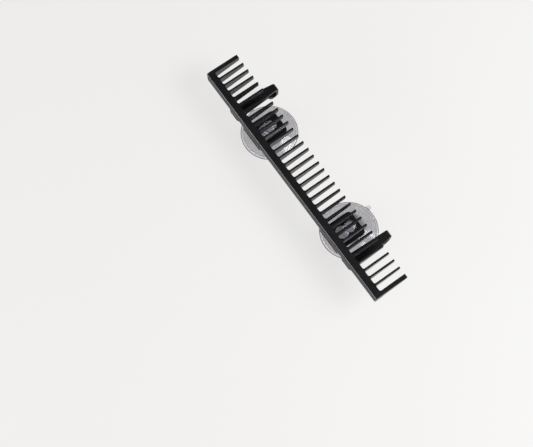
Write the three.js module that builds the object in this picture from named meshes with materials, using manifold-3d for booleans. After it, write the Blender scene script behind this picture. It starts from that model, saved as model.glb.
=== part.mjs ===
// Comb-shaped hair extension holder with two suction cups, in millimetres.
//
// The rack is a spine with a row of tapered teeth. Two hook arms and two keyhole brackets stand on the
// back of the spine, and a clear suction cup hangs by its mushroom head in each keyhole. It lies on its
// cups with the front face up: +X runs along the spine, +Y from the spine to the tips of the teeth, and
// +Z from the cups to the front face. The origin is the centre of the footprint, at the plane of the rims.

import * as THREE from 'three';
import { mergeVertices } from 'three/addons/utils/BufferGeometryUtils.js';
import Module from 'manifold-3d';

// ---- Driving dimensions --------------------------------------------------------------------------

const LENGTH = 285; // along the spine
const FRONT_Z = 40; // front face above the rims of the cups
const MERGE_DISTANCE = 1e-4; // corners closer than this are the same corner

// Heights are measured from the outer edge of the spine towards the tips, and depths from the front face.
const SPINE = { height: 7.7, depth: 13, cornerRadius: 1.2 };
const TEETH = {
  count: 33,
  pitch: 8.7,
  width: 1.94,
  tip: 37.2,
  rootDepth: 10.3, // thickness of a tooth from front to back at the spine
  tipDepth: 5.6, // and at the tip
  tipRadius: 0.7,
};
const ROOT_FILLET = 1.6; // round corners at the bottom of each slot

const ARM = {
  offset: 95.7, // from the middle of the comb
  outerHalf: 5.9, // from its centre line to its outer side, up to the shoulder
  innerHalf: 5.8, // to its inner side, at the foot
  topHalf: 3.8, // to either side, at the top
  shoulder: 38, // height where its outer side starts to slope in
  front: 14, // depth of its front face
  wall: 2.9,
  top: 53.8,
  far: 29.4, // depth of the back of the curl
  curlRadius: 4.8, // outer radius of the curl
  cornerRadius: 2.6,
  farWall: 1.4, // straight stretch down the back of the curl
  lipAngle: 60, // degrees that the curl turns past straight down before the straight lip starts
  lipLength: 4.6,
};
const FOOT = {
  width: 18.4,
  height: 9,
  back: 20, // depth of its back
  cornerRadius: 4.4,
  shoulder: 5.5, // where its sides start to slope in to the arm
  overhang: 0.3, // how far its top stands out on each side of the arm
};

const BRACKET = {
  offset: 66.4,
  width: 28.2,
  front: 25,
  wall: 2.5,
  bottom: 1.5,
  top: 38.2,
  cornerRadius: 4.5,
  shelf: 3.5,
  fillet: 2,
};
const KEYHOLE = { entry: 18.8, entryRadius: 6.8, seat: 28.3, slotRadius: 4.2 };

const CUP = {
  radius: 30,
  rimWidth: 1.8,
  rimHeight: 1.1,
  rimStep: 0.8, // the dished outside starts this far in from the edge
  rimLip: 0.5, // and this far above the rim
  hubRadius: 8.6,
  hubHeight: 2.6, // straight side of the hub
  neckRadius: 4,
  headRadius: 6.3,
  headHeight: 5.6,
  headSide: 2.2, // straight side of the head, below its dome
  hollowHeight: 7.4,
  hollowPower: 1.5, // above 1 the hollow flares out to the rim
  outsidePower: 0.9, // below 1 the outside bulges
  running: 0.2, // gap between the plate of the bracket and the cup's hub and head
};
const TAB = { width: 5, reach: 34, thickness: 1.4, clearance: 0.3 };
const CUPS = [
  { side: 'left', sign: -1, height: 24.1, tabDegrees: 182 },
  { side: 'right', sign: 1, height: KEYHOLE.seat, tabDegrees: 104 },
];

// The footprint runs from the rim of the left cup to the tip of the right cup's tab, beyond the hooks.
const [LOW_CUP, HIGH_CUP] = CUPS;
const TAB_RISE = Math.sin(THREE.MathUtils.degToRad(HIGH_CUP.tabDegrees));
const FOOTPRINT_LOW = LOW_CUP.height - CUP.radius;
const FOOTPRINT_HIGH = HIGH_CUP.height + TAB.reach * TAB_RISE + (TAB.width / 2) * (1 - TAB_RISE);
const ORIGIN_Y = (FOOTPRINT_LOW + FOOTPRINT_HIGH) / 2;

const yAt = (height) => height - ORIGIN_Y;
const zAt = (depth) => FRONT_Z - depth;

// ---- Materials -----------------------------------------------------------------------------------

const blackPlastic = () => new THREE.MeshStandardMaterial({ color: 0x17171a, roughness: 0.35, metalness: 0 });
const clearVinyl = () => new THREE.MeshStandardMaterial({
  color: 0xb9b7c4, roughness: 0.12, metalness: 0, transparent: true, opacity: 0.5,
});

// ---- Solids --------------------------------------------------------------------------------------

const wasm = await Module();
wasm.setup();

function toManifold(geometry) {
  const bare = geometry.clone();
  bare.deleteAttribute('normal');
  bare.deleteAttribute('uv');
  const merged = mergeVertices(bare, MERGE_DISTANCE);
  return new wasm.Manifold(new wasm.Mesh({
    numProp: 3,
    vertProperties: new Float32Array(merged.attributes.position.array),
    triVerts: new Uint32Array(merged.index.array),
  }));
}

function toGeometry(solid) {
  const mesh = solid.getMesh();
  const geometry = new THREE.BufferGeometry();
  geometry.setAttribute('position', new THREE.BufferAttribute(mesh.vertProperties, 3));
  geometry.setIndex(new THREE.BufferAttribute(mesh.triVerts, 1));
  return geometry;
}

const part = new THREE.Group();

function addPart(name, geometry, material) {
  const mesh = new THREE.Mesh(geometry, material);
  mesh.name = name;
  part.add(mesh);
}

// Turns a shape drawn in (Y, Z) and extruded by width into a solid centred on x.
function extrudeAlongX(shape, x, width, curveSegments) {
  const geometry = new THREE.ExtrudeGeometry(shape, { depth: width, curveSegments, bevelEnabled: false });
  const axes = new THREE.Matrix4().makeBasis(
    new THREE.Vector3(0, 1, 0), new THREE.Vector3(0, 0, 1), new THREE.Vector3(1, 0, 0),
  );
  geometry.applyMatrix4(axes);
  geometry.translate(x - width / 2, 0, 0);
  return geometry;
}

// Turns a shape drawn in (X, Y) into a solid between two depths.
function extrudeBetweenDepths(shape, front, back, curveSegments) {
  const depth = back - front;
  const geometry = new THREE.ExtrudeGeometry(shape, { depth, curveSegments, bevelEnabled: false });
  geometry.translate(0, 0, zAt(back));
  return geometry;
}

// ---- Spine and teeth -----------------------------------------------------------------------------

const toothX = (index) => (index - (TEETH.count - 1) / 2) * TEETH.pitch;

// Left and right side of a tooth. The two end teeth run out to the ends of the spine.
function toothSides(index) {
  const left = index === 0 ? -LENGTH / 2 : toothX(index) - TEETH.width / 2;
  const right = index === TEETH.count - 1 ? LENGTH / 2 : toothX(index) + TEETH.width / 2;
  return { left, right };
}

const toothRootY = yAt(SPINE.height + ROOT_FILLET);

// The outline seen from the front: a straight outer edge, and one round-cornered recess for each slot.
function spineOutline() {
  const outline = new THREE.Shape();
  const low = yAt(0);
  const slotY = yAt(SPINE.height);
  const end = LENGTH / 2;
  const r = SPINE.cornerRadius;
  outline.moveTo(-end + r, low);
  outline.lineTo(end - r, low);
  outline.absarc(end - r, low + r, r, -Math.PI / 2, 0, false);
  outline.lineTo(end, toothRootY);
  for (let index = TEETH.count - 1; index > 0; index -= 1) {
    const slotRight = toothSides(index).left;
    const slotLeft = toothSides(index - 1).right;
    outline.lineTo(slotRight, toothRootY);
    outline.absarc(slotRight - ROOT_FILLET, slotY + ROOT_FILLET, ROOT_FILLET, 0, -Math.PI / 2, true);
    outline.absarc(slotLeft + ROOT_FILLET, slotY + ROOT_FILLET, ROOT_FILLET, -Math.PI / 2, -Math.PI, true);
    outline.lineTo(slotLeft, toothRootY);
  }
  outline.lineTo(-end, toothRootY);
  outline.absarc(-end + r, low + r, r, Math.PI, 1.5 * Math.PI, false);
  return outline;
}

const depthAtHeight = (height) => {
  const fraction = (height - SPINE.height) / (TEETH.tip - SPINE.height);
  return THREE.MathUtils.lerp(TEETH.rootDepth, TEETH.tipDepth, fraction);
};

// The side view of a tooth: a straight front, a sloping back and a tip with round corners.
function toothProfile() {
  const profile = new THREE.Shape();
  const r = TEETH.tipRadius;
  const tipY = yAt(TEETH.tip);
  const frontZ = zAt(0);
  const backZ = zAt(TEETH.tipDepth);
  profile.moveTo(toothRootY, frontZ);
  profile.lineTo(toothRootY, zAt(depthAtHeight(SPINE.height + ROOT_FILLET)));
  profile.lineTo(tipY - r, backZ);
  profile.absarc(tipY - r, backZ + r, r, -Math.PI / 2, 0, false);
  profile.absarc(tipY - r, frontZ - r, r, 0, Math.PI / 2, false);
  return profile;
}

function buildSpineAndTeeth() {
  const spine = extrudeBetweenDepths(spineOutline(), 0, SPINE.depth, 3);
  addPart('comb_spine', spine, blackPlastic());
  for (let index = 0; index < TEETH.count; index += 1) {
    const { left, right } = toothSides(index);
    const tooth = extrudeAlongX(toothProfile(), (left + right) / 2, right - left, 3);
    addPart(`tooth_${String(index + 1).padStart(2, '0')}`, tooth, blackPlastic());
  }
}

// ---- Hook arms -----------------------------------------------------------------------------------

// The side view of an arm: up from the foot, back over the top, down the far wall of the curl, and along
// a straight lip that leans back towards the arm. Angles turn from +Y, so -90 degrees is the far wall.
function armProfile() {
  const profile = new THREE.Shape();
  const { wall, curlRadius, cornerRadius } = ARM;
  const frontZ = zAt(ARM.front);
  const backZ = zAt(ARM.front + wall);
  const topY = yAt(ARM.top);
  const curlZ = zAt(ARM.far) + curlRadius;
  const upperY = topY - curlRadius;
  const lowerY = upperY - ARM.farWall;
  const innerRadius = curlRadius - wall;
  const farAngle = -Math.PI / 2;
  const lipAngle = farAngle - THREE.MathUtils.degToRad(ARM.lipAngle);
  const outward = new THREE.Vector2(Math.cos(lipAngle), Math.sin(lipAngle));
  const along = new THREE.Vector2(outward.y, -outward.x);
  const tip = new THREE.Vector2(lowerY, curlZ)
    .addScaledVector(outward, curlRadius - wall / 2)
    .addScaledVector(along, ARM.lipLength);
  const footY = yAt(FOOT.height / 2);
  profile.moveTo(footY, backZ);
  profile.lineTo(topY - wall, backZ);
  profile.absarc(upperY, curlZ, innerRadius, 0, farAngle, true);
  profile.absarc(lowerY, curlZ, innerRadius, farAngle, lipAngle, true);
  profile.absarc(tip.x, tip.y, wall / 2, lipAngle + Math.PI, lipAngle, false);
  profile.absarc(lowerY, curlZ, curlRadius, lipAngle, farAngle, false);
  profile.absarc(upperY, curlZ, curlRadius, farAngle, 0, false);
  profile.absarc(topY - cornerRadius, frontZ - cornerRadius, cornerRadius, 0, Math.PI / 2, false);
  profile.lineTo(footY, frontZ);
  return profile;
}

// A block behind the spine with round lower corners and shoulders that slope in to the arm.
function footOutline(x) {
  const outline = new THREE.Shape();
  const half = FOOT.width / 2;
  const r = FOOT.cornerRadius;
  const low = yAt(0);
  const high = yAt(FOOT.height);
  const shoulder = yAt(FOOT.shoulder);
  const topHalf = ARM.outerHalf + FOOT.overhang;
  outline.moveTo(x - half + r, low);
  outline.lineTo(x + half - r, low);
  outline.absarc(x + half - r, low + r, r, -Math.PI / 2, 0, false);
  outline.lineTo(x + half, shoulder);
  outline.lineTo(x + topHalf, high);
  outline.lineTo(x - topHalf, high);
  outline.lineTo(x - half, shoulder);
  outline.absarc(x - half + r, low + r, r, Math.PI, 1.5 * Math.PI, false);
  return outline;
}

// The front view of an arm: straight on its outer side up to the shoulder, and sloping in all the way on its
// inner side. It runs past the arm below and above, so that only its two sides cut the arm.
function armOutline(x, sign) {
  const outline = new THREE.Shape();
  const low = yAt(0);
  const top = yAt(ARM.top);
  const past = top + ARM.wall;
  outline.moveTo(x + sign * ARM.outerHalf, low);
  outline.lineTo(x + sign * ARM.outerHalf, yAt(ARM.shoulder));
  outline.lineTo(x + sign * ARM.topHalf, top);
  outline.lineTo(x + sign * ARM.topHalf, past);
  outline.lineTo(x - sign * ARM.topHalf, past);
  outline.lineTo(x - sign * ARM.topHalf, top);
  outline.lineTo(x - sign * ARM.innerHalf, low);
  return outline;
}

function buildArm(side, sign) {
  const x = sign * ARM.offset;
  const blank = toManifold(extrudeAlongX(armProfile(), x, FOOT.width, 10));
  const arm = blank.intersect(toManifold(extrudeBetweenDepths(armOutline(x, sign), 0, FRONT_Z, 1)));
  const foot = toManifold(extrudeBetweenDepths(footOutline(x), SPINE.depth, FOOT.back, 4));
  addPart(`hook_arm_${side}`, toGeometry(foot.add(arm)), blackPlastic());
}

// ---- Brackets ------------------------------------------------------------------------------------

// A plate with round upper corners and a keyhole: a round entry near the spine and a slot towards the tips.
function plateOutline(x) {
  const outline = new THREE.Shape();
  const half = BRACKET.width / 2;
  const r = BRACKET.cornerRadius;
  const low = yAt(BRACKET.bottom);
  const high = yAt(BRACKET.top);
  outline.moveTo(x - half, low);
  outline.lineTo(x + half, low);
  outline.lineTo(x + half, high - r);
  outline.absarc(x + half - r, high - r, r, 0, Math.PI / 2, false);
  outline.absarc(x - half + r, high - r, r, Math.PI / 2, Math.PI, false);
  outline.lineTo(x - half, low);

  const keyhole = new THREE.Path();
  const mouth = Math.asin(KEYHOLE.slotRadius / KEYHOLE.entryRadius);
  keyhole.absarc(x, yAt(KEYHOLE.entry), KEYHOLE.entryRadius, Math.PI / 2 - mouth, Math.PI / 2 + mouth, true);
  keyhole.absarc(x, yAt(KEYHOLE.seat), KEYHOLE.slotRadius, Math.PI, 0, true);
  outline.holes.push(keyhole);
  return outline;
}

// The shelf that carries the plate on the back of the spine, seen from the side, with a fillet under it.
function shelfProfile() {
  const profile = new THREE.Shape();
  const low = yAt(BRACKET.bottom);
  const high = yAt(BRACKET.bottom + BRACKET.shelf);
  const spineZ = zAt(SPINE.depth);
  const plateZ = zAt(BRACKET.front);
  const insidePlateZ = zAt(BRACKET.front + BRACKET.wall / 2);
  const r = BRACKET.fillet;
  profile.moveTo(low, insidePlateZ);
  profile.lineTo(high + r, insidePlateZ);
  profile.lineTo(high + r, plateZ);
  profile.absarc(high + r, plateZ + r, r, -Math.PI / 2, -Math.PI, true);
  profile.lineTo(high, spineZ);
  profile.lineTo(low, spineZ);
  return profile;
}

function buildBracket(side, sign) {
  const x = sign * BRACKET.offset;
  const plate = toManifold(extrudeBetweenDepths(
    plateOutline(x), BRACKET.front, BRACKET.front + BRACKET.wall, 12,
  ));
  const shelf = toManifold(extrudeAlongX(shelfProfile(), x, BRACKET.width, 4));
  addPart(`bracket_${side}`, toGeometry(plate.add(shelf)), blackPlastic());
}

// ---- Suction cups --------------------------------------------------------------------------------

// Half of the section of a cup, from its axis at the top of the hollow round to its axis at the top of the
// head: hollow, flat rim, dished outside, hub under the plate, neck in the keyhole, and mushroom head.
function cupSection() {
  const plateBack = zAt(BRACKET.front + BRACKET.wall);
  const plateFront = zAt(BRACKET.front);
  const hubTop = plateBack - CUP.running;
  const headBase = plateFront + CUP.running;
  const headTop = headBase + CUP.headHeight;
  const inner = CUP.radius - CUP.rimWidth;
  const points = [];
  const steps = 7;
  for (let i = 0; i <= steps; i += 1) {
    const angle = (i / steps) * (Math.PI / 2);
    const rise = Math.cos(angle) ** CUP.hollowPower;
    points.push(new THREE.Vector2(inner * Math.sin(angle), CUP.hollowHeight * rise));
  }
  points[0].x = 0;
  points[steps].set(inner, 0);
  points.push(new THREE.Vector2(CUP.radius, 0));
  points.push(new THREE.Vector2(CUP.radius, CUP.rimHeight));
  const shoulderZ = hubTop - CUP.hubHeight;
  const lipZ = CUP.rimHeight + CUP.rimLip;
  for (let i = 1; i <= steps; i += 1) {
    const fraction = i / steps;
    const radius = THREE.MathUtils.lerp(CUP.radius - CUP.rimStep, CUP.hubRadius, fraction);
    const rise = Math.sin(fraction * Math.PI / 2) ** CUP.outsidePower;
    points.push(new THREE.Vector2(radius, THREE.MathUtils.lerp(lipZ, shoulderZ, rise)));
  }
  points.push(new THREE.Vector2(CUP.hubRadius, hubTop));
  points.push(new THREE.Vector2(CUP.neckRadius, hubTop));
  points.push(new THREE.Vector2(CUP.neckRadius, headBase));
  points.push(new THREE.Vector2(CUP.headRadius, headBase));
  const domeZ = headBase + CUP.headSide;
  const domeSteps = 5;
  for (let i = 0; i <= domeSteps; i += 1) {
    const angle = (i / domeSteps) * (Math.PI / 2);
    const z = domeZ + (headTop - domeZ) * Math.sin(angle);
    points.push(new THREE.Vector2(CUP.headRadius * Math.cos(angle), z));
  }
  points[points.length - 1].x = 0;
  return points;
}

// A flat tongue with a round end, pointing out from the rim.
function tabSolid(angle) {
  const tongue = new THREE.Shape();
  const half = TAB.width / 2;
  const root = CUP.radius - CUP.rimWidth / 2;
  tongue.moveTo(root, -half);
  tongue.lineTo(TAB.reach - half, -half);
  tongue.absarc(TAB.reach - half, 0, half, -Math.PI / 2, Math.PI / 2, false);
  tongue.lineTo(root, half);
  const geometry = new THREE.ExtrudeGeometry(tongue, {
    depth: TAB.thickness, bevelEnabled: false, curveSegments: 6,
  });
  geometry.rotateZ(angle);
  geometry.translate(0, 0, TAB.clearance);
  return toManifold(geometry);
}

function buildCup({ side, sign, height, tabDegrees }) {
  const lathe = new THREE.LatheGeometry(cupSection(), 40);
  lathe.rotateX(Math.PI / 2);
  const cup = toManifold(lathe).add(tabSolid(THREE.MathUtils.degToRad(tabDegrees)));
  const geometry = toGeometry(cup);
  geometry.translate(sign * BRACKET.offset, yAt(height), 0);
  addPart(`suction_cup_${side}`, geometry, clearVinyl());
}

// ---- Assembly ------------------------------------------------------------------------------------

buildSpineAndTeeth();
for (const { side, sign } of CUPS) {
  buildArm(side, sign);
  buildBracket(side, sign);
}
CUPS.forEach(buildCup);

export default part;
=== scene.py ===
"""Comb-shaped hair extension holder lying on its two suction cups.

Everything is in metres and in the frame of the CAD model: +X runs along the spine, +Y from the spine to the
tips of the teeth, and +Z from the cups to the front face.
"""
import math

import bmesh
import bpy
from mathutils import Matrix, Vector


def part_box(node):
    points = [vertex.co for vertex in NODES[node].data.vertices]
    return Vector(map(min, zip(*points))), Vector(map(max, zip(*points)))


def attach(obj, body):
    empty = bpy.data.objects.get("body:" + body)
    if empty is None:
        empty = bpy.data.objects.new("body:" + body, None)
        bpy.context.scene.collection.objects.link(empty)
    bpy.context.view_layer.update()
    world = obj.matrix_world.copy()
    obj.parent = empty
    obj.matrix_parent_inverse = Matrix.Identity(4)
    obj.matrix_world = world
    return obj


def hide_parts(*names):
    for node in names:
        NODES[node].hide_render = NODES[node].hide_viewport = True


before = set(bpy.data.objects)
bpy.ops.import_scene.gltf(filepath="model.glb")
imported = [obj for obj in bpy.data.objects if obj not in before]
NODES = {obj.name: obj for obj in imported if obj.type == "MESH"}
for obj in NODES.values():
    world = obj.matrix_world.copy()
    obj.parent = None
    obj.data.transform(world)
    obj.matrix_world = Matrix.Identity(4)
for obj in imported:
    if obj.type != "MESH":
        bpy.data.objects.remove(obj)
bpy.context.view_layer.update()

MM = 0.001

# ---- Places taken from the CAD model ----------------------------------------------------------------

TOOTH_NAMES = sorted(name for name in NODES if name.startswith("tooth_"))
SIDES = ("left", "right")
SPINE_LOW, SPINE_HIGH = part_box("comb_spine")
FRONT_Z = SPINE_HIGH.z

# ---- Sizes of the finer shapes ----------------------------------------------------------------------

ROOT_FILLET = 1.6 * MM  # round corners at the bottom of each slot
SPINE_CORNER = 1.2 * MM  # round outer corners of the spine
TIP_CORNER = 0.3 * MM
TIP_DEPTH = 5.6 * MM  # thickness of a tooth from front to back, at its tip
CHAMFER = 0.4 * MM  # flat edge between the front and the outer face of the spine
COMB_ROUNDING = 0.16 * MM
ARM_ROUNDING = 0.6 * MM
BRACKET_ROUNDING = 0.4 * MM
SLACK = 0.01 * MM  # vertices this close to a plane are on it

SHARP_ANGLE = math.radians(50)  # edges bent by more than this are rounded
CREASE_ANGLE = math.radians(40)  # edges bent by more than this stay crisp in the shading
FLAT_ANGLE = math.radians(0.8)  # neighbouring faces bent by less than this become one
MERGE_DISTANCE = 0.002 * MM
ROUND_SEGMENTS = 3  # flats across a rounded edge

# The suction cup's sizes are plain numbers of millimetres.
CUP_RADIUS = 30.0
SEAL_INNER = 28.2  # inner edge of the flat face that seals
HOLLOW_HEIGHT = 7.4
HOLLOW_FLARE = 1.5  # above 1 the hollow flares out to the rim
RIM_ROUNDING = 0.35
RIM_ROUNDING_Z = 0.4  # height of the middle of that rounding
RIM_TOP = 0.8
RIM_INSET = 0.9  # the top of the rim, and the root of the tab, are this far inside the edge
# (radius, height): a shallow groove inside the rim, then the dished outside up to the hub
OUTSIDE = (
    (28.6, 0.95), (27.8, 1.5), (27.0, 2.05), (25.6, 2.75), (23.5, 3.95), (21.0, 5.2), (18.4, 6.45),
    (15.8, 7.6), (13.4, 8.5), (11.2, 9.15), (9.6, 9.6), (8.9, 10.0), (8.6, 10.6),
)
# (radius, height) of the rounded corners, from the flat top of the hub
HUB_EDGE = ((8.6, -0.5), (8.45, -0.15), (8.1, 0.0))
NECK_FOOT = ((4.6, 0.0), (4.15, 0.12), (4.0, 0.5))
# and from the flat underside of the head
NECK_TOP = ((4.0, -0.5), (4.15, -0.12), (4.6, 0.0))
HEAD_EDGE = ((5.8, 0.0), (6.15, 0.12), (6.3, 0.5))
HEAD_RADIUS = 6.3
HEAD_SIDE = 2.2  # from the underside of the head to the foot of its dome
GRIP = 2.9  # from the top of the hub to the head: the plate of the bracket and a gap on each side
RUNNING_GAP = 0.2
DIMPLE_RADIUS = 0.6
DIMPLE_DEPTH = 0.2

TAB_REACH = 33.8
TAB_HALF = 2.5
TAB_DEGREES = {"left": 182.0, "right": 104.0}
# Parts of the tab's half width: its squarish end fills up to the first, and its root flares out between
# the second and the third.
TAB_END_HALF = 0.96
FLARE_START = 0.92
FLARE_END = 1.35
FLARE_HEIGHT = 0.9

RING_STEP = 1.5  # degrees between the vertices round a cup
TAB_STEP = 0.45  # the same near the tab
TAB_STEPS = 16  # to each side of its middle


# ---- Materials --------------------------------------------------------------------------------------

class Shader:
    """A node material being put together, with one method for each kind of node that the looks use."""

    def __init__(self, name):
        self.material = bpy.data.materials.new(name)
        self.material.use_nodes = True
        self.tree = self.material.node_tree
        self.tree.nodes.clear()
        self.output = self.add("ShaderNodeOutputMaterial")
        self.position = self.add("ShaderNodeTexCoord").outputs["Object"]

    def add(self, kind, **values):
        node = self.tree.nodes.new(kind)
        for key, value in values.items():
            setattr(node, key, value)
        return node

    def link(self, source, target):
        self.tree.links.new(source, target)

    def put(self, target, value):
        """Links value to the input if it is another node's output, and otherwise sets it."""
        if isinstance(value, bpy.types.NodeSocket):
            self.link(value, target)
        else:
            target.default_value = value

    def noise(self, size, detail, roughness=0.5, stretch=None):
        """Noise whose features are about size metres across; stretch scales it along X, Y and Z."""
        node = self.add("ShaderNodeTexNoise")
        source = self.position
        if stretch:
            mapping = self.add("ShaderNodeMapping")
            mapping.inputs["Scale"].default_value = stretch
            self.link(source, mapping.inputs["Vector"])
            source = mapping.outputs["Vector"]
        self.link(source, node.inputs["Vector"])
        node.inputs["Scale"].default_value = 1.0 / size
        node.inputs["Detail"].default_value = detail
        node.inputs["Roughness"].default_value = roughness
        return node.outputs["Fac"]

    def remap(self, value, low, high, to_low, to_high):
        node = self.add("ShaderNodeMapRange", clamp=True)
        self.put(node.inputs["Value"], value)
        for key, number in (("From Min", low), ("From Max", high), ("To Min", to_low), ("To Max", to_high)):
            node.inputs[key].default_value = number
        return node.outputs["Result"]

    def component(self, vector, axis):
        node = self.add("ShaderNodeSeparateXYZ")
        self.link(vector, node.inputs["Vector"])
        return node.outputs[axis]

    def math(self, operation, a, b):
        node = self.add("ShaderNodeMath", operation=operation)
        self.put(node.inputs[0], a)
        self.put(node.inputs[1], b)
        return node.outputs[0]

    def product(self, first, *others):
        for factor in others:
            first = self.math("MULTIPLY", first, factor)
        return first

    def mix_colour(self, factor, a, b):
        node = self.add("ShaderNodeMix", data_type="RGBA")
        self.put(node.inputs["Factor"], factor)
        self.put(node.inputs["A"], a)
        self.put(node.inputs["B"], b)
        return node.outputs["Result"]

    def bump(self, height, distance, normal=None):
        node = self.add("ShaderNodeBump")
        self.put(node.inputs["Height"], height)
        node.inputs["Distance"].default_value = distance
        node.inputs["Strength"].default_value = 1.0
        if normal is not None:
            self.link(normal, node.inputs["Normal"])
        return node.outputs["Normal"]

    def principled(self, **values):
        node = self.add("ShaderNodeBsdfPrincipled")
        for key, value in values.items():
            self.put(node.inputs[key.replace("_", " ")], value)
        self.link(node.outputs["BSDF"], self.output.inputs["Surface"])


PLASTIC_DARK = (0.0050, 0.0049, 0.0058, 1)
PLASTIC_LIGHT = (0.0086, 0.0083, 0.0098, 1)
CHAMFER_HIGHLIGHT_GLOSS = 0.12  # what the painted highlight on the chamfer adds to the gloss, and takes off the roughness


def plastic_gloss_and_shade(shader, side):
    """How much the black plastic mirrors, where side is the Y part of its normal.

    Its grain shades itself where the skin is seen edge-on, so the walls mirror less than polished ones would.
    The long outer face of the spine, which faces -Y, mirrors less, most towards the front, and so does
    whatever lies close to the table: both are painted shade.
    """
    facing = shader.add("ShaderNodeLayerWeight").outputs["Facing"]
    height = shader.component(shader.position, "Z")
    sheen = shader.remap(facing, 0.3, 0.6, 0.28, 0.62)
    grain_shade = shader.remap(facing, 0.6, 0.85, 0.95, 0.46)
    # Painted shade: the outer face of the spine, which faces -Y, mirrors less, most towards the front.
    shaded_outer_face = shader.remap(side, -0.97, -0.85, 1.0, 0.0)
    outer_shade_by_height = shader.remap(height, 29 * MM, 37 * MM, 0.72, 0.93)
    outer_face_unshaded = shader.math("SUBTRACT", 1.0, shader.math("MULTIPLY", shaded_outer_face, outer_shade_by_height))
    # Painted shade: whatever lies close to the table mirrors less.
    table_shade = shader.remap(height, 12 * MM, 30 * MM, 0.35, 1.0)
    return shader.product(sheen, grain_shade, outer_face_unshaded, table_shade)


def black_plastic():
    """Moulded black plastic: a satin skin with fine grain, slow waves from the mould, and faint rub marks,
    with a painted highlight along the chamfer and painted shade on the spine's outer face and close to the
    table.
    """
    shader = Shader("rack_plastic")
    mottle = shader.noise(9 * MM, detail=3)
    grain = shader.noise(0.22 * MM, detail=2)
    waves = shader.noise(14 * MM, detail=1)
    rubs = shader.noise(1.2 * MM, detail=4, roughness=0.6, stretch=(1.0, 12.0, 1.0))
    colour = shader.mix_colour(mottle, PLASTIC_DARK, PLASTIC_LIGHT)
    normal = shader.bump(grain, 0.006 * MM)
    normal = shader.bump(waves, 0.05 * MM, normal)

    # Edges whose normal leans half way to -Y, such as the chamfer along the front of the spine, get a painted
    # highlight: more gloss and less roughness.
    side = shader.component(shader.add("ShaderNodeNewGeometry").outputs["Normal"], "Y")
    above = shader.remap(side, -0.8, -0.75, 0.0, 1.0)
    below = shader.remap(side, -0.66, -0.61, 1.0, 0.0)
    chamfer_highlight = shader.product(above, below, CHAMFER_HIGHLIGHT_GLOSS)
    gloss = shader.math("ADD", plastic_gloss_and_shade(shader, side), chamfer_highlight)

    rough = shader.remap(mottle, 0.3, 0.7, 0.30, 0.38)
    marks = shader.remap(rubs, 0.55, 0.75, 0.0, 0.06)
    rough = shader.math("SUBTRACT", shader.math("ADD", rough, marks), chamfer_highlight)
    shader.principled(Base_Color=colour, Roughness=rough, Normal=normal, IOR=1.5, Specular_IOR_Level=gloss)
    return shader.material


VINYL_REACH = 34.0
# How much light the vinyl lets through at each radius in mm: lighter over the head, dull round the hub out to
# 14.5 mm, partly for the thicker vinyl there and partly as painted shade where the bracket and the comb shade
# the cup, then clear, with a dark groove inside the light lip and a dark outer edge, and a pale pull tab
# beyond it.
VINYL_TONE_AND_SHADE = (
    (0.0, 0.72), (6.3, 0.68), (7.6, 0.10), (14.5, 0.11), (17.8, 0.51), (26.4, 0.55), (27.1, 0.42),
    (27.6, 0.49), (28.2, 0.95), (29.0, 0.95), (29.3, 0.12), (30.1, 0.12), (30.6, 0.90), (34.0, 0.92),
)
VINYL_GREEN = 0.99  # green and blue against red: a faint violet tint
VINYL_BLUE = 1.03
VINYL_CLOUD = (0.86, 0.855, 0.89, 1)
VINYL_DEPTH_TINT = (0.55, 0.53, 0.62, 1)
VINYL_DENSITY = 165.0


def distance_from_axis(shader):
    """A cup's own origin is on its axis, so the distance comes from the object's own coordinates."""
    flat = shader.add("ShaderNodeVectorMath", operation="MULTIPLY")
    shader.link(shader.position, flat.inputs[0])
    flat.inputs[1].default_value = (1, 1, 0)
    length = shader.add("ShaderNodeVectorMath", operation="LENGTH")
    shader.link(flat.outputs["Vector"], length.inputs[0])
    return length.outputs["Value"]


def radial_tone_and_shade(shader):
    """The vinyl's tone bands, with painted shade round the hub, as a colour ramp from the axis outwards."""
    ramp = shader.add("ShaderNodeValToRGB")
    ramp.color_ramp.interpolation = "EASE"
    elements = ramp.color_ramp.elements
    elements[0].position = VINYL_TONE_AND_SHADE[0][0] / VINYL_REACH
    elements[1].position = VINYL_TONE_AND_SHADE[-1][0] / VINYL_REACH
    for radius, _ in VINYL_TONE_AND_SHADE[1:-1]:
        elements.new(radius / VINYL_REACH)
    for element, (_, level) in zip(elements, VINYL_TONE_AND_SHADE):
        element.color = (level, level * VINYL_GREEN, level * VINYL_BLUE, 1)
    fraction = shader.remap(distance_from_axis(shader), 0.0, VINYL_REACH * MM, 0.0, 1.0)
    shader.link(fraction, ramp.inputs["Fac"])
    return ramp.outputs["Color"]


def clear_vinyl():
    """Soft clear vinyl: it darkens with thickness, it is a little cloudy and uneven, and round the hub it
    carries painted shade.
    """
    shader = Shader("clear_vinyl")
    cloud = shader.noise(11 * MM, detail=3)
    ripple = shader.noise(9 * MM, detail=1)
    haze = shader.remap(cloud, 0.3, 0.7, 0.0, 0.35)
    colour = shader.mix_colour(haze, radial_tone_and_shade(shader), VINYL_CLOUD)
    rough = shader.remap(cloud, 0.35, 0.7, 0.09, 0.16)
    normal = shader.bump(ripple, 0.05 * MM)
    shader.principled(
        Base_Color=colour, Roughness=rough, Normal=normal, IOR=1.45, Transmission_Weight=1.0,
    )
    absorption = shader.add("ShaderNodeVolumeAbsorption")
    absorption.inputs["Color"].default_value = VINYL_DEPTH_TINT
    absorption.inputs["Density"].default_value = VINYL_DENSITY
    shader.link(absorption.outputs["Volume"], shader.output.inputs["Volume"])
    return shader.material


FLOOR_DARK = (0.157, 0.156, 0.154, 1)
FLOOR_LIGHT = (0.165, 0.164, 0.162, 1)
FLOOR_GLOW = (1.0, 0.992, 0.975, 1)
FLOOR_GLOW_STRENGTH = 0.685


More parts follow.
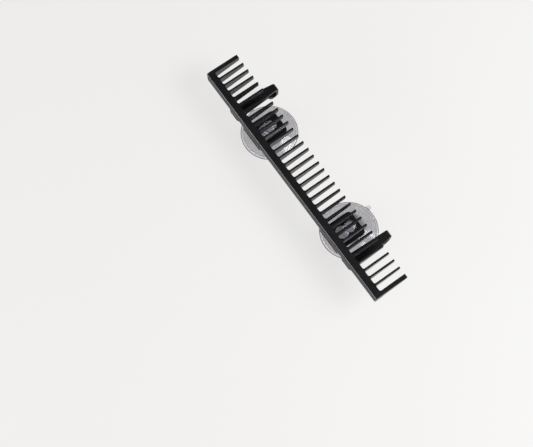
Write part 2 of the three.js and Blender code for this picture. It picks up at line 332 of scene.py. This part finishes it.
def floor_material():
    """A pale table that glows, so that the shadows on it stay faint."""
    shader = Shader("floor")
    mottle = shader.noise(0.4, detail=2)
    colour = shader.mix_colour(mottle, FLOOR_DARK, FLOOR_LIGHT)
    shader.principled(
        Base_Color=colour, Roughness=0.8, Emission_Color=FLOOR_GLOW, Emission_Strength=FLOOR_GLOW_STRENGTH,
    )
    return shader.material


PLASTIC = black_plastic()
VINYL = clear_vinyl()


# ---- Mesh helpers -----------------------------------------------------------------------------------

def new_object(name, mesh, material):
    piece = bpy.data.objects.new(name, mesh)
    bpy.context.scene.collection.objects.link(piece)
    mesh.materials.clear()
    mesh.materials.append(material)
    return piece


def mesh_from(work, name):
    """Ends the work on a bmesh and returns it as a mesh whose faces all look outwards."""
    bmesh.ops.recalc_face_normals(work, faces=work.faces)
    mesh = bpy.data.meshes.new(name)
    work.to_mesh(mesh)
    work.free()
    return mesh


def apply_modifiers(piece):
    """Makes the piece's modifiers part of its mesh."""
    bpy.context.view_layer.update()
    graph = bpy.context.evaluated_depsgraph_get()
    baked = bpy.data.meshes.new_from_object(piece.evaluated_get(graph), depsgraph=graph)
    piece.modifiers.clear()
    piece.data = baked


def bevel_edges(piece, width, segments, chosen):
    """Bevels the edges of the piece for which chosen(edge) is true."""
    work = bmesh.new()
    work.from_mesh(piece.data)
    layers = work.edges.layers.float
    weights = layers.get("bevel_weight_edge") or layers.new("bevel_weight_edge")
    for edge in work.edges:
        edge[weights] = 1.0 if edge.is_manifold and chosen(edge) else 0.0
    work.to_mesh(piece.data)
    work.free()
    bevel = piece.modifiers.new("edges", "BEVEL")
    bevel.width = width
    bevel.segments = segments
    bevel.limit_method = "WEIGHT"
    bevel.miter_outer = "MITER_ARC" if segments > 1 else "MITER_SHARP"
    bevel.use_clamp_overlap = segments > 1
    apply_modifiers(piece)


def is_sharp(edge):
    return edge.calc_face_angle() > SHARP_ANGLE


def soften_edges(piece, width):
    """Rounds the sharp edges and shades the piece smooth between its flat faces."""
    bevel_edges(piece, width, ROUND_SEGMENTS, is_sharp)
    piece.data.shade_smooth()
    piece.data.set_sharp_from_angle(angle=CREASE_ANGLE)
    weighted = piece.modifiers.new("normals", "WEIGHTED_NORMAL")
    weighted.keep_sharp = True
    weighted.weight = 100
    apply_modifiers(piece)


def clean_copy(name, node, material):
    """A new piece with the shape of a CAD node, its vertices merged and its flat faces made whole."""
    mesh = NODES[node].data.copy()
    work = bmesh.new()
    work.from_mesh(mesh)
    bmesh.ops.remove_doubles(work, verts=work.verts, dist=MERGE_DISTANCE)
    bmesh.ops.dissolve_limit(
        work, angle_limit=FLAT_ANGLE, verts=work.verts, edges=work.edges, use_dissolve_boundaries=False,
    )
    bmesh.ops.recalc_face_normals(work, faces=work.faces)
    work.to_mesh(mesh)
    work.free()
    return new_object(name, mesh, material)


def arc(centre, radius, start, end, steps):
    """Points on an arc, from start to end in degrees, both ends included."""
    points = []
    for i in range(steps + 1):
        angle = math.radians(start + (end - start) * i / steps)
        points.append((centre[0] + radius * math.cos(angle), centre[1] + radius * math.sin(angle)))
    return points


def smooth_through(points, steps):
    """The points with more between them, on a curve that passes through every one of them."""
    curve = []
    for i in range(len(points) - 1):
        before = Vector(points[max(i - 1, 0)])
        start = Vector(points[i])
        end = Vector(points[i + 1])
        after = Vector(points[min(i + 2, len(points) - 1)])
        for step in range(steps):
            t = step / steps
            bend = (end - before) * t + (2 * before - 5 * start + 4 * end - after) * t ** 2
            bend += (3 * start - before - 3 * end + after) * t ** 3
            curve.append(tuple(start + bend / 2))
    curve.append(tuple(points[-1]))
    return curve


# ---- The comb: spine and teeth as one moulding --------------------------------------------------------

TOOTH_LOW, TOOTH_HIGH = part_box(TOOTH_NAMES[1])
ROOT_Y = TOOTH_LOW.y
TIP_Y = TOOTH_HIGH.y
ROOT_BACK = TOOTH_LOW.z
SPINE_BACK = SPINE_LOW.z


def tooth_sides():
    """(left, right) of each tooth, from the right end of the spine to the left end."""
    sides = []
    for name in reversed(TOOTH_NAMES):
        low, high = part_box(name)
        sides.append((low.x, high.x))
    return sides


def spine_stretches(teeth):
    """The outline of the spine between the teeth, as lists of points that start and end at a tooth's root.

    The first runs round the outside, from the left end to the right end. The others are the recesses of the
    slots, from right to left.
    """
    low = SPINE_LOW
    high = SPINE_HIGH
    corner_y = low.y + SPINE_CORNER
    outside = [(low.x, ROOT_Y)]
    outside += arc((low.x + SPINE_CORNER, corner_y), SPINE_CORNER, 180, 270, steps=5)
    outside += arc((high.x - SPINE_CORNER, corner_y), SPINE_CORNER, 270, 360, steps=5)
    outside.append((high.x, ROOT_Y))
    stretches = [outside]
    for (slot_right, _), (_, slot_left) in zip(teeth, teeth[1:]):
        recess = arc((slot_right - ROOT_FILLET, ROOT_Y), ROOT_FILLET, 0, -90, steps=5)
        recess += arc((slot_left + ROOT_FILLET, ROOT_Y), ROOT_FILLET, 270, 180, steps=5)
        stretches.append(recess)
    return stretches


class Wall:
    """The wall of the spine along one stretch of its outline, from the front to the back.

    At each end a vertex in the corner marks the back of the tooth that stands there.
    """

    def __init__(self, work, points):
        self.front = [work.verts.new((x, y, FRONT_Z)) for x, y in points]
        self.back = [work.verts.new((x, y, SPINE_BACK)) for x, y in points]
        self.first_root = work.verts.new((*points[0], ROOT_BACK))
        self.last_root = work.verts.new((*points[-1], ROOT_BACK))
        last = len(points) - 2
        for i in range(last + 1):
            near_side = [self.front[i], self.back[i]]
            far_side = [self.back[i + 1], self.front[i + 1]]
            if i == 0:
                near_side.insert(1, self.first_root)
            if i == last:
                far_side.insert(1, self.last_root)
            work.faces.new(near_side + far_side)


def tooth_back(y):
    """How far back a tooth reaches at a distance along it: it thins towards its tip."""
    fraction = (y - ROOT_Y) / (TIP_Y - ROOT_Y)
    return ROOT_BACK + (FRONT_Z - TIP_DEPTH - ROOT_BACK) * fraction


def add_tooth(work, left, right, before, after):
    """Adds a tooth between two walls and returns the vertices round the front of its tip."""
    around_tip = arc((right - TIP_CORNER, TIP_Y - TIP_CORNER), TIP_CORNER, 0, 90, steps=3)
    around_tip += arc((left + TIP_CORNER, TIP_Y - TIP_CORNER), TIP_CORNER, 90, 180, steps=3)
    front = [work.verts.new((x, y, FRONT_Z)) for x, y in around_tip]
    rear = [work.verts.new((x, y, tooth_back(y))) for x, y in around_tip]
    right_root = before.last_root
    left_root = after.first_root
    work.faces.new((before.front[-1], right_root, rear[0], front[0]))
    for i in range(len(front) - 1):
        work.faces.new((front[i], rear[i], rear[i + 1], front[i + 1]))
    work.faces.new((front[-1], rear[-1], left_root, after.front[0]))
    work.faces.new([right_root, left_root] + rear[::-1])
    work.faces.new((right_root, before.back[-1], after.back[0], left_root))
    return front


def on_outer_edge(edge):
    """Whether an edge runs along the outer edge of the front of the comb."""
    outermost = SPINE_LOW.y + SPINE_CORNER + SLACK
    return is_sharp(edge) and all(v.co.y < outermost and v.co.z > FRONT_Z - SLACK for v in edge.verts)


def build_comb():
    """One closed body: a flat front, a deep spine, and teeth that thin towards their tips."""
    work = bmesh.new()
    teeth = tooth_sides()
    walls = [Wall(work, points) for points in spine_stretches(teeth)]
    front = []
    back = []
    for i, (left, right) in enumerate(teeth):
        front += walls[i].front
        back += walls[i].back
        front += add_tooth(work, left, right, walls[i], walls[(i + 1) % len(walls)])
    work.faces.new(front)
    work.faces.new(back[::-1])
    comb = new_object("comb_body", mesh_from(work, "comb_body"), PLASTIC)
    bevel_edges(comb, CHAMFER, segments=1, chosen=on_outer_edge)
    soften_edges(comb, COMB_ROUNDING)
    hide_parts("comb_spine", *TOOTH_NAMES)
    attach(comb, "rack")


# ---- Hook arms and brackets ---------------------------------------------------------------------------

def build_moulded(name, node, rounding):
    """A part of the rack with the shape of its CAD node and rounded edges."""
    piece = clean_copy(name, node, PLASTIC)
    soften_edges(piece, rounding)
    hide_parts(node)
    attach(piece, "rack")


# ---- Suction cups -------------------------------------------------------------------------------------

def hollow_points():
    """(radius, height) of the inside, from the axis to the sealing face."""
    steps = 40
    points = [(0.0, HOLLOW_HEIGHT)]
    for i in range(1, steps + 1):
        angle = math.radians(90 * i / steps)
        rise = max(math.cos(angle), 0.0) ** HOLLOW_FLARE
        points.append((SEAL_INNER * math.sin(angle), HOLLOW_HEIGHT * rise))
    return points


def rim_points():
    """(radius, height, carry) of the rim. carry says how far the tab takes a point outwards, from 0 to 1."""
    middle = CUP_RADIUS - RIM_ROUNDING
    points = [(CUP_RADIUS - RIM_INSET, 0.0, 0.3), (middle, 0.0, 1.0)]
    for radius, height in arc((middle, RIM_ROUNDING_Z), RIM_ROUNDING, -60, 80, steps=6):
        points.append((radius, height, 1.0))
    points.append((CUP_RADIUS - RIM_INSET, RIM_TOP, 0.55))
    return points


def hub_and_head_points():
    """(radius, height) from the side of the hub, up the neck and over the head, to the axis."""
    hub_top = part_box("bracket_left")[0].z / MM - RUNNING_GAP
    head_base = hub_top + GRIP
    head_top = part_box("suction_cup_left")[1].z / MM
    dome_base = head_base + HEAD_SIDE
    points = [(radius, hub_top + height) for radius, height in HUB_EDGE + NECK_FOOT]
    points += [(radius, head_base + height) for radius, height in NECK_TOP + HEAD_EDGE]
    for radius, rise in arc((0, 0), 1.0, 0, 82, steps=8):
        points.append((HEAD_RADIUS * radius, dome_base + (head_top - dome_base) * rise))
    points.append((DIMPLE_RADIUS, head_top - 0.6 * DIMPLE_DEPTH))
    points.append((0.0, head_top - DIMPLE_DEPTH))
    return points


def cup_section():
    """(radius, height, carry) points from the middle of the hollow, round the rim, to the top of the head."""
    section = [(radius, height, 0.0) for radius, height in hollow_points()]
    section += rim_points()
    outside = smooth_through(OUTSIDE, steps=3) + hub_and_head_points()
    section += [(radius, height, 0.0) for radius, height in outside]
    return section


def tab_bulge(offset):
    """How far the tab stands out beyond the rim at an angle offset, in radians, from its middle."""
    across = abs(offset) * CUP_RADIUS / TAB_HALF
    if across >= FLARE_END:
        return 0.0
    if across > FLARE_START:
        rest = (FLARE_END - across) / (FLARE_END - FLARE_START)
        return FLARE_HEIGHT * rest ** 2
    squarish_end = math.sqrt(max(0.0, 1 - (across / TAB_END_HALF) ** 4))
    return FLARE_HEIGHT + (TAB_REACH - CUP_RADIUS - FLARE_HEIGHT) * squarish_end


def cup_angles(tab):
    """The angles of the cup's vertices: even steps all round, and finer ones at the tab."""
    angles = [math.radians(RING_STEP * i) for i in range(round(360 / RING_STEP))]
    for i in range(-TAB_STEPS, TAB_STEPS + 1):
        angles.append((tab + math.radians(TAB_STEP * i)) % (2 * math.pi))
    return sorted(set(round(angle, 6) for angle in angles))


def add_ring(work, radius, height, carry, angles, tab):
    """One ring of vertices of the cup, or a single vertex on the axis."""
    if radius == 0.0:
        return [work.verts.new((0, 0, height * MM))]
    ring = []
    for angle in angles:
        offset = (angle - tab + math.pi) % (2 * math.pi) - math.pi
        reach = (radius + carry * tab_bulge(offset)) * MM
        ring.append(work.verts.new((reach * math.cos(angle), reach * math.sin(angle), height * MM)))
    return ring


def join_rings(work, lower, upper, count):
    for i in range(count):
        j = (i + 1) % count
        if len(lower) == 1:
            work.faces.new((lower[0], upper[j], upper[i]))
        elif len(upper) == 1:
            work.faces.new((lower[i], lower[j], upper[0]))
        else:
            work.faces.new((lower[i], lower[j], upper[j], upper[i]))


def build_cup(side):
    """A cup turned about its own axis, with its tab pulled out of the rim."""
    node = f"suction_cup_{side}"
    low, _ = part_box(node)
    bracket_low, bracket_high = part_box(f"bracket_{side}")
    tab = math.radians(TAB_DEGREES[side])
    angles = cup_angles(tab)
    work = bmesh.new()
    rings = [add_ring(work, radius, height, carry, angles, tab) for radius, height, carry in cup_section()]
    for lower, upper in zip(rings, rings[1:]):
        join_rings(work, lower, upper, len(angles))
    mesh = mesh_from(work, f"vinyl_cup_{side}")
    mesh.shade_smooth()
    cup = new_object(f"vinyl_cup_{side}", mesh, VINYL)
    cup.location = ((bracket_low.x + bracket_high.x) / 2, low.y + CUP_RADIUS * MM, 0)
    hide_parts(node)
    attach(cup, f"cup_{side}")


# ---- Stage, lights and camera -------------------------------------------------------------------------

FLOOR_HALF = 6.0
FLOOR_DROP = 0.02 * MM  # the floor is this far below the rims, so that the two don't flicker
CAMERA_AT = (0.2235, -0.1993, 0.8752)
CAMERA_AIM = (0.02192, -0.0691, 0.0401)
CAMERA_LENS = 60.8
CAMERA_ROLL = math.radians(55.755)
HORIZON_LIGHT = (0.75, 0.745, 0.735, 1)
OVERHEAD_LIGHT = (0.16, 0.16, 0.17, 1)
WORLD_STRENGTH = 0.8


def build_stage():
    far = FLOOR_HALF
    corners = [(-far, -far, 0), (far, -far, 0), (far, far, 0), (-far, far, 0)]
    mesh = bpy.data.meshes.new("floor")
    mesh.from_pydata(corners, [], [(0, 1, 2, 3)])
    floor = new_object("floor", mesh, floor_material())
    floor.location.z = -FLOOR_DROP


def build_world():
    """Bright near the horizon and dim overhead, as in a room with light walls and lamps at the sides."""
    world = bpy.data.worlds.new("studio")
    bpy.context.scene.world = world
    world.use_nodes = True
    tree = world.node_tree
    tree.nodes.clear()
    output = tree.nodes.new("ShaderNodeOutputWorld")
    background = tree.nodes.new("ShaderNodeBackground")
    coordinates = tree.nodes.new("ShaderNodeTexCoord")
    split = tree.nodes.new("ShaderNodeSeparateXYZ")
    ramp = tree.nodes.new("ShaderNodeValToRGB")
    horizon, overhead = ramp.color_ramp.elements
    horizon.position = 0.45
    horizon.color = HORIZON_LIGHT
    overhead.position = 0.9
    overhead.color = OVERHEAD_LIGHT
    tree.links.new(coordinates.outputs["Generated"], split.inputs["Vector"])
    tree.links.new(split.outputs["Z"], ramp.inputs["Fac"])
    tree.links.new(ramp.outputs["Color"], background.inputs["Color"])
    tree.links.new(background.outputs["Background"], output.inputs["Surface"])
    background.inputs["Strength"].default_value = WORLD_STRENGTH


def add_softbox(name, at, width, height, power):
    """A rectangular lamp aimed at the middle of the object."""
    light = bpy.data.lights.new(name, "AREA")
    light.shape = "RECTANGLE"
    light.size = width
    light.size_y = height
    light.energy = power
    lamp = bpy.data.objects.new(name, light)
    bpy.context.scene.collection.objects.link(lamp)
    lamp.location = at
    lamp.rotation_euler = (-Vector(at)).to_track_quat("-Z", "Y").to_euler()


def build_camera():
    """A camera above the comb that looks down across its right end."""
    camera = bpy.data.cameras.new("camera")
    camera.lens = CAMERA_LENS
    camera.sensor_width = 36.0
    camera.clip_end = 20.0
    viewer = bpy.data.objects.new("camera", camera)
    bpy.context.scene.collection.objects.link(viewer)
    at = Vector(CAMERA_AT)
    back = (at - Vector(CAMERA_AIM)).normalized()
    across = Vector((0, 1, 0)).cross(back).normalized()
    upright = Matrix((across, back.cross(across), back)).transposed()
    turned = upright @ Matrix.Rotation(CAMERA_ROLL, 3, "Z")
    viewer.matrix_world = Matrix.Translation(at) @ turned.to_4x4()
    bpy.context.scene.camera = viewer


# ---- The scene ----------------------------------------------------------------------------------------

build_comb()
for side in SIDES:
    build_moulded(f"arm_and_hook_{side}", f"hook_arm_{side}", ARM_ROUNDING)
    build_moulded(f"keyhole_bracket_{side}", f"bracket_{side}", BRACKET_ROUNDING)
    build_cup(side)
build_stage()
build_world()
add_softbox("softbox_right", (0.66, 0.55, 0.83), width=0.86, height=0.60, power=15)
add_softbox("strip_low", (-0.3, -1.2, 0.22), width=1.4, height=0.3, power=14)
build_camera()
bpy.context.scene.view_settings.view_transform = "Standard"
